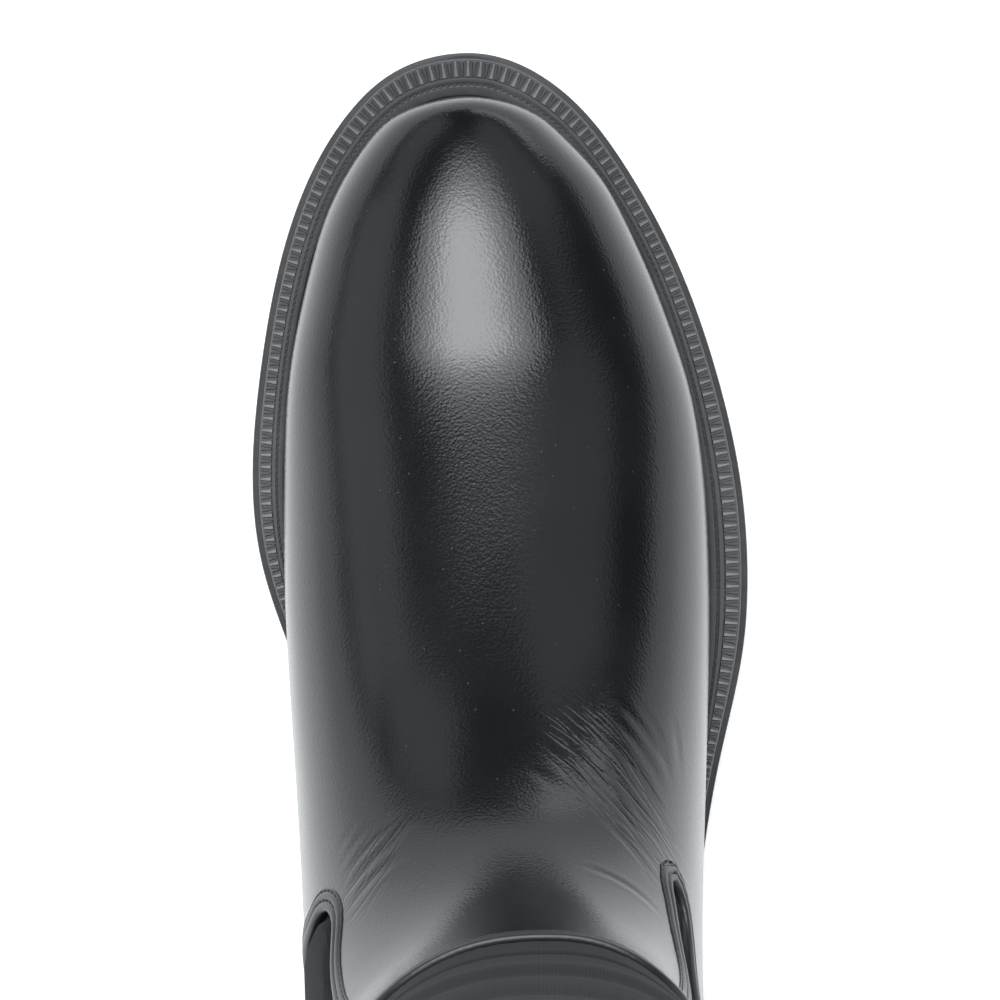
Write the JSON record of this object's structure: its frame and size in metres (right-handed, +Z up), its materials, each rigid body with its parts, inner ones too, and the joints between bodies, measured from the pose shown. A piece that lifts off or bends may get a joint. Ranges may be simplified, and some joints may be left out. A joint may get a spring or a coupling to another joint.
{
  "type": "tall pull-on boot",
  "caption": "Tall pull-on right boot: smooth leather foot with side gore notches, matte stretch-fabric leg, ribbed welt and lugged rubber sole with a block heel.",
  "frame": {"origin": "on the floor, under the middle of the sole's length and width", "axes": "+Z up the leg, +Y towards the toe, +X towards the outer (little toe) side"},
  "size_m": [0.102, 0.28, 0.395],
  "materials": {
    "outsole_rubber": "matte moulded black rubber",
    "welt_rubber": "satin ribbed black rubber",
    "insole_board": "matte dark textile sock",
    "upper_leather": "smooth black leather, soft gloss",
    "binding_leather": "turned edge, satin, twice stitched",
    "shaft_fabric": "matte dark stretch fabric"
  },
  "bodies": {
    "root": {"outsole": "outsole_rubber", "welt": "welt_rubber", "insole": "insole_board", "upper": "upper_leather", "edge_binding": "binding_leather", "shaft": "shaft_fabric"}
  },
  "joints": []
}
